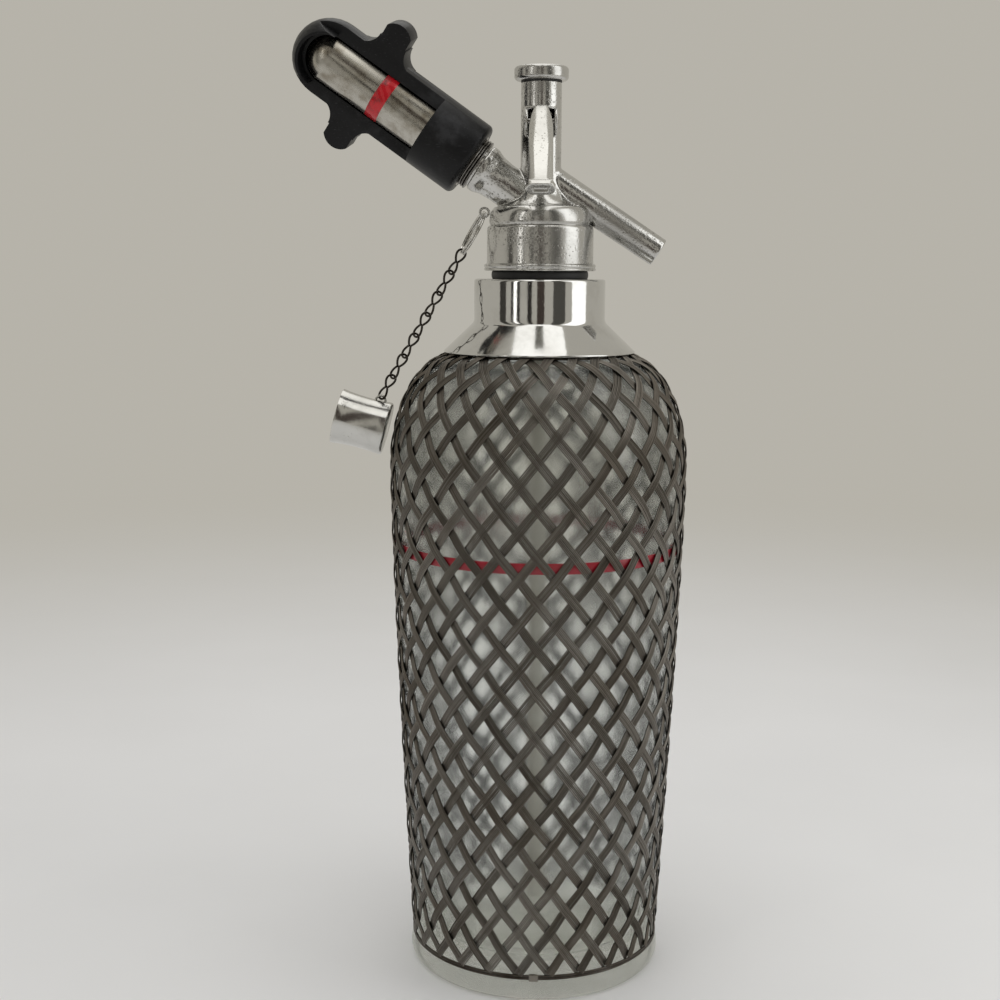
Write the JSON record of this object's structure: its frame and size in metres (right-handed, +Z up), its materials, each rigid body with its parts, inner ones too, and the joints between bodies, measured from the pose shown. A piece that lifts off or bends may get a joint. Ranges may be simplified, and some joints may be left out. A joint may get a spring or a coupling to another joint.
{
  "type": "soda siphon",
  "caption": "Refillable soda siphon: a glass bottle in a woven wire sleeve, with a chromed lever head, side spout, screw-on gas bulb holder and a chained inlet cap.",
  "frame": {"origin": "centre of the flat base on the table", "axes": "+Z up along the bottle's axis, +X along the spout, -X along the gas bulb holder, -Y along the thumb lever"},
  "size_m": [0.1449, 0.1104, 0.3501],
  "materials": {
    "glass": "clear, slightly grey-green, with faint ripples",
    "red_enamel": "red line fired on the glass",
    "sleeve_wire": "dull grey-brown steel wire, brighter on its crowns",
    "sleeve_clip": "thin tinned strip",
    "polished_chrome": "bright plated sheet with fine scratches",
    "brass": "turned, dull",
    "rubber": "black, aged",
    "tube": "milky tube",
    "worn_chrome": "plating worn and pitted, grainy on the outer curves",
    "spring_steel": "bright drawn wire",
    "bulb_steel": "plated steel, stained",
    "red_paint": "red band, rubbed thin",
    "black_plastic": "black moulded resin, satin, worn grey on its edges",
    "ring_steel": "plated flat wire",
    "chain_steel": "dark tarnished wire",
    "cap_tin": "plated pressed sheet, lightly dented"
  },
  "bodies": {
    "bottle": {"glass_bottle": "glass", "fill_line": "red_enamel", "mesh_strips_right": "sleeve_wire", "mesh_strips_left": "sleeve_wire", "mesh_foot_band": "sleeve_wire", "mesh_band_clip": "sleeve_clip", "mesh_top_ring": "sleeve_wire", "shoulder_collar": "polished_chrome", "neck_ring": "brass", "neck_gasket": "rubber"},
    "tube": {"dip_tube": "tube", "rim_seal": "rubber"},
    "head": {"head_body": "worn_chrome", "tube_bush": "rubber", "spindle_gland": "rubber", "tower_cap": "worn_chrome", "tower_cap_washer": "rubber", "valve_spring": "spring_steel", "lever_pin": "spring_steel", "inlet_nipple": "worn_chrome", "piercing_pin": "spring_steel", "inlet_washer": "rubber", "check_valve": "rubber", "chain_eyelet": "worn_chrome"},
    "lever": {"lever": "worn_chrome"},
    "valve": {"valve_spindle": "brass", "valve_washer": "rubber"},
    "bulb": {"gas_bulb": "bulb_steel", "bulb_band": "red_paint"},
    "holder": {"bulb_holder": "black_plastic", "holder_insert": "worn_chrome"},
    "ring": {"split_ring": "ring_steel"},
    "link_1": {"chain_link_1": "chain_steel"},
    "link_2": {"chain_link_2": "chain_steel"},
    "link_3": {"chain_link_3": "chain_steel"},
    "link_4": {"chain_link_4": "chain_steel"},
    "link_5": {"chain_link_5": "chain_steel"},
    "link_6": {"chain_link_6": "chain_steel"},
    "link_7": {"chain_link_7": "chain_steel"},
    "cap": {"inlet_cap": "cap_tin", "inlet_cap_liner": "rubber", "cap_loop": "cap_tin"}
  },
  "joints": [
    {"name": "head_rise", "type": "slide", "parent": "bottle", "child": "tube", "axis": [0, 0, 1], "range_m": [0, 0.01]},
    {"name": "head_screw", "type": "hinge", "parent": "tube", "child": "head", "pos_m": [0, 0, 0.274], "axis": [0, 0, 1], "range_deg": [0, 1800]},
    {"name": "lever_press", "type": "hinge", "parent": "head", "child": "lever", "pos_m": [0, -0.008, 0.3138], "axis": [1, 0, 0], "range_deg": [0, 12], "stiffness_Nm_per_rad": 0.5, "springref_deg": -2.86},
    {"name": "valve_lift", "type": "slide", "parent": "head", "child": "valve", "axis": [0, 0, 1], "range_m": [0, 0.00157], "deforming": ["valve_spring"]},
    {"name": "bulb_slide", "type": "slide", "parent": "head", "child": "bulb", "axis": [-0.8161, 0, 0.5779], "range_m": [0, 0.014]},
    {"name": "holder_screw", "type": "hinge", "parent": "bulb", "child": "holder", "pos_m": [0, 0, 0.2827], "axis": [-0.8161, 0, 0.5779], "range_deg": [0, 2520]},
    {"name": "ring_swing", "type": "hinge", "parent": "head", "child": "ring", "pos_m": [-0.02036, 0, 0.2821], "axis": [0, 1, 0], "range_deg": [0, 30]},
    {"name": "link_1_swing", "type": "hinge", "parent": "ring", "child": "link_1", "pos_m": [-0.02862, 0, 0.26747], "axis": [0, 1, 0], "range_deg": [0, 8]},
    {"name": "link_2_swing", "type": "hinge", "parent": "link_1", "child": "link_2", "pos_m": [-0.03258, 0, 0.26047], "axis": [0, 1, 0], "range_deg": [0, 8]},
    {"name": "link_3_swing", "type": "hinge", "parent": "link_2", "child": "link_3", "pos_m": [-0.0369, 0, 0.25281], "axis": [0, 1, 0], "range_deg": [0, 8]},
    {"name": "link_4_swing", "type": "hinge", "parent": "link_3", "child": "link_4", "pos_m": [-0.04123, 0, 0.24516], "axis": [0, 1, 0], "range_deg": [0, 8]},
    {"name": "link_5_swing", "type": "hinge", "parent": "link_4", "child": "link_5", "pos_m": [-0.04555, 0, 0.2375], "axis": [0, 1, 0], "range_deg": [0, 8]},
    {"name": "link_6_swing", "type": "hinge", "parent": "link_5", "child": "link_6", "pos_m": [-0.04988, 0, 0.22985], "axis": [0, 1, 0], "range_deg": [0, 8]},
    {"name": "link_7_swing", "type": "hinge", "parent": "link_6", "child": "link_7", "pos_m": [-0.0542, 0, 0.22219], "axis": [0, 1, 0], "range_deg": [0, 8]},
    {"name": "cap_swing", "type": "hinge", "parent": "link_7", "child": "cap", "pos_m": [-0.05823, 0, 0.21506], "axis": [0, 1, 0], "range_deg": [0, 15]}
  ],
  "couplings": [
    {"joint": "head_screw", "follows": "head_rise", "rad_per_m": 3141.6},
    {"joint": "lever_press", "follows": "valve_lift", "rad_per_m": 133.33},
    {"joint": "holder_screw", "follows": "bulb_slide", "rad_per_m": 3141.6}
  ]
}
